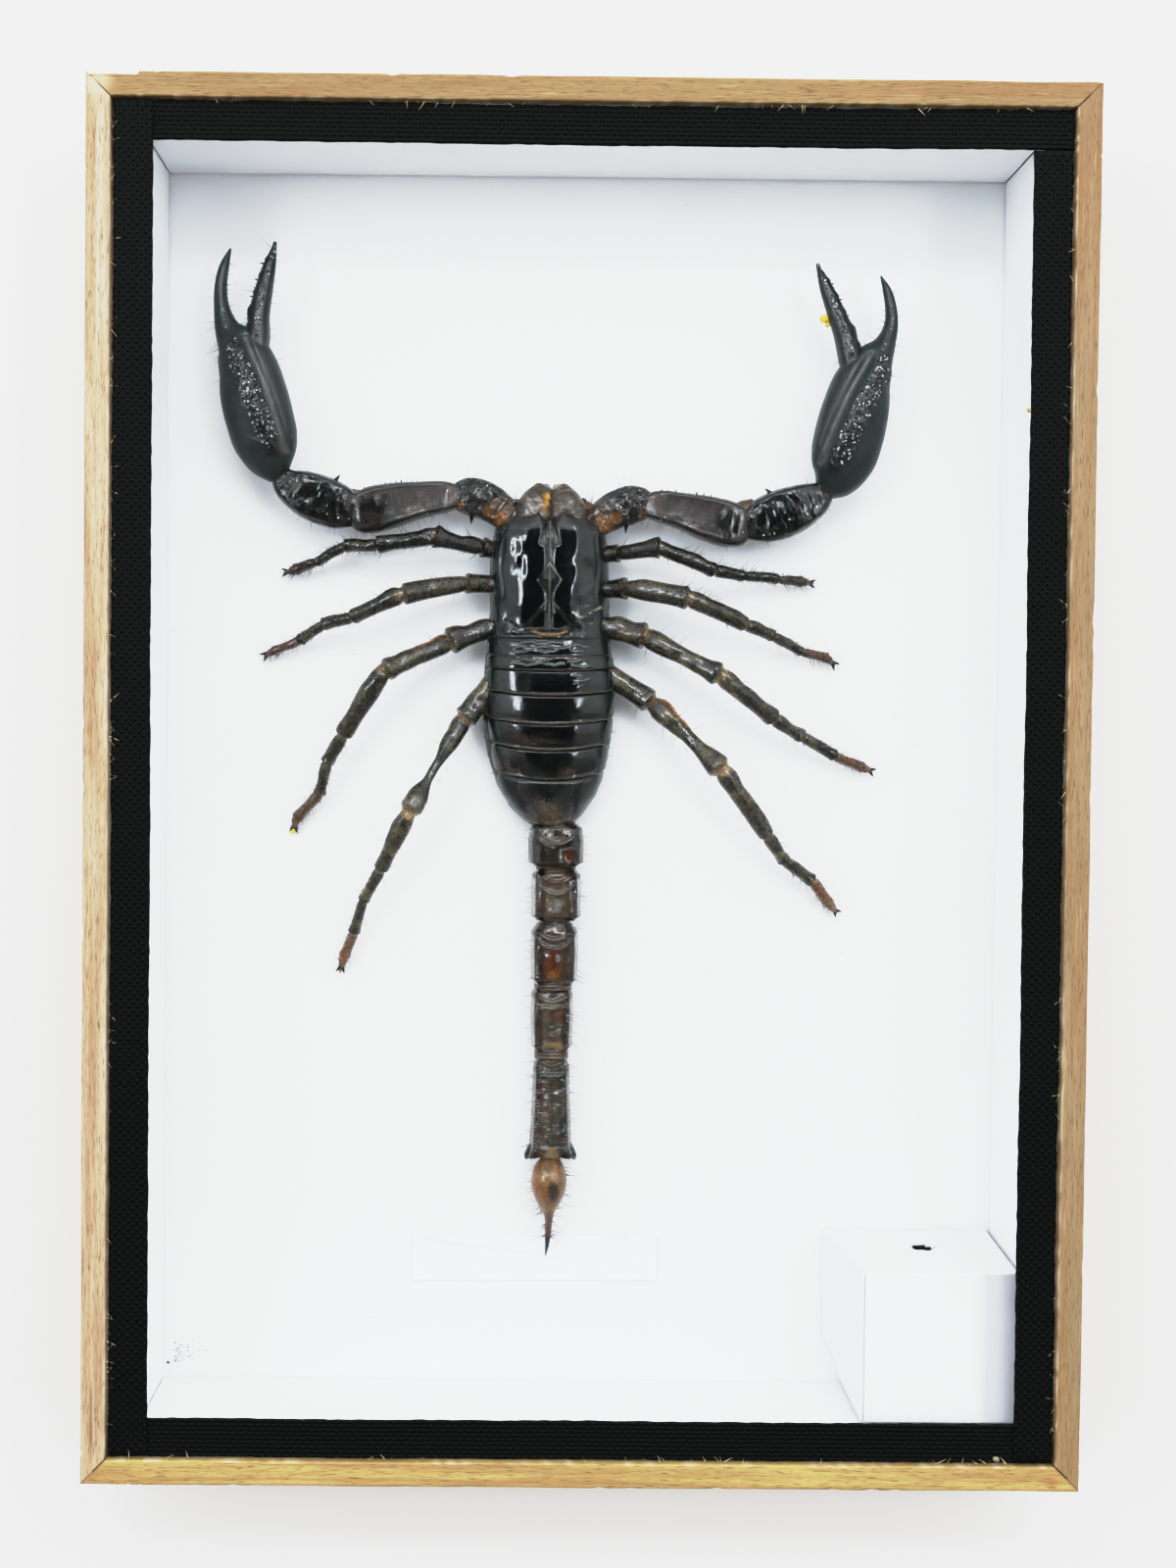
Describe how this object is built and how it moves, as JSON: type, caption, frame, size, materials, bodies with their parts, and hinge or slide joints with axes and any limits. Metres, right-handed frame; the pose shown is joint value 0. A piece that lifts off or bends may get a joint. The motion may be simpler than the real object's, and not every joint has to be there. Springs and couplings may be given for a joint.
{
  "type": "scorpion specimen in shadow box",
  "caption": "Dried scorpion fixed on a white floor in a glazed wooden shadow box, with black tape round the glass, a paper slip and a folded card cube.",
  "frame": {"origin": "middle of the back face, which the box lies on", "axes": "+Z out through the glass, +Y along the long side towards the claws, +X to the right as seen through the glass"},
  "size_m": [0.155, 0.217, 0.032],
  "materials": {
    "wood": "light tan open-grained wood, sanded and bare, with brown streaks",
    "board": "plain brown hardboard",
    "white_card": "smooth white card",
    "glass": "clear float glass",
    "tape": "black ribbed cloth tape",
    "paper": "plain white paper, faintly blue",
    "box_card": "thin folded white card",
    "shell": "dry scorpion cuticle, glossy green-black to red-brown"
  },
  "bodies": {
    "root": {"top_rail": "wood", "bottom_rail": "wood", "left_rail": "wood", "right_rail": "wood", "back_board": "board", "floor_sheet": "white_card", "top_lining": "white_card", "bottom_lining": "white_card", "left_lining": "white_card", "right_lining": "white_card", "glass_pane": "glass", "top_tape": "tape", "bottom_tape": "tape", "left_tape": "tape", "right_tape": "tape", "label": "paper", "card_box": "box_card", "scorpion": "shell"}
  },
  "joints": []
}
